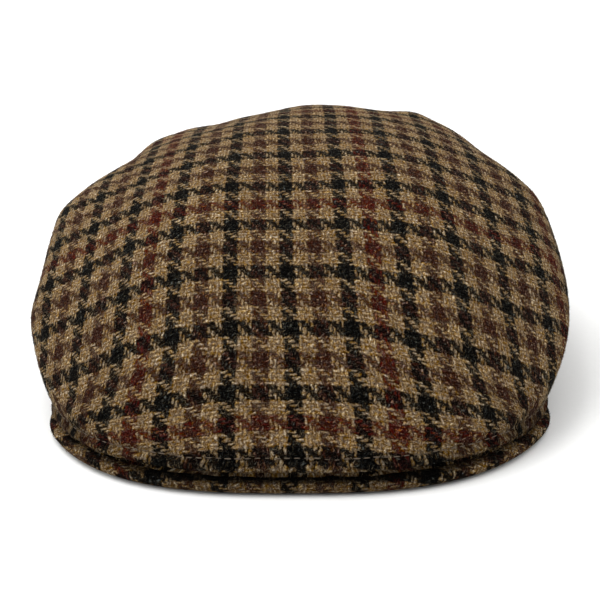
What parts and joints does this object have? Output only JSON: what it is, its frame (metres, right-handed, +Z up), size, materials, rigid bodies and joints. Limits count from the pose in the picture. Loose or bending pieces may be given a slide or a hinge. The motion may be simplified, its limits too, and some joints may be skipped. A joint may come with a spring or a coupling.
{
  "type": "flat cap",
  "caption": "Flat cap in checked wool tweed: a soft hollow crown of a top panel and side panels, drawn forward and sewn down on a short stiff peak.",
  "frame": {"origin": "on the table under the middle of the cap's bounding box", "axes": "+Z up, the peak points along -Y, the wearer's left is +X"},
  "size_m": [0.2272, 0.269, 0.1003],
  "materials": {
    "tweed": "matte woven wool in a small two-over check of dark, brown and rust lines on tan"
  },
  "bodies": {
    "root": {"crown_top": "tweed", "side_panel_left": "tweed", "side_panel_right": "tweed", "peak": "tweed"}
  },
  "joints": []
}
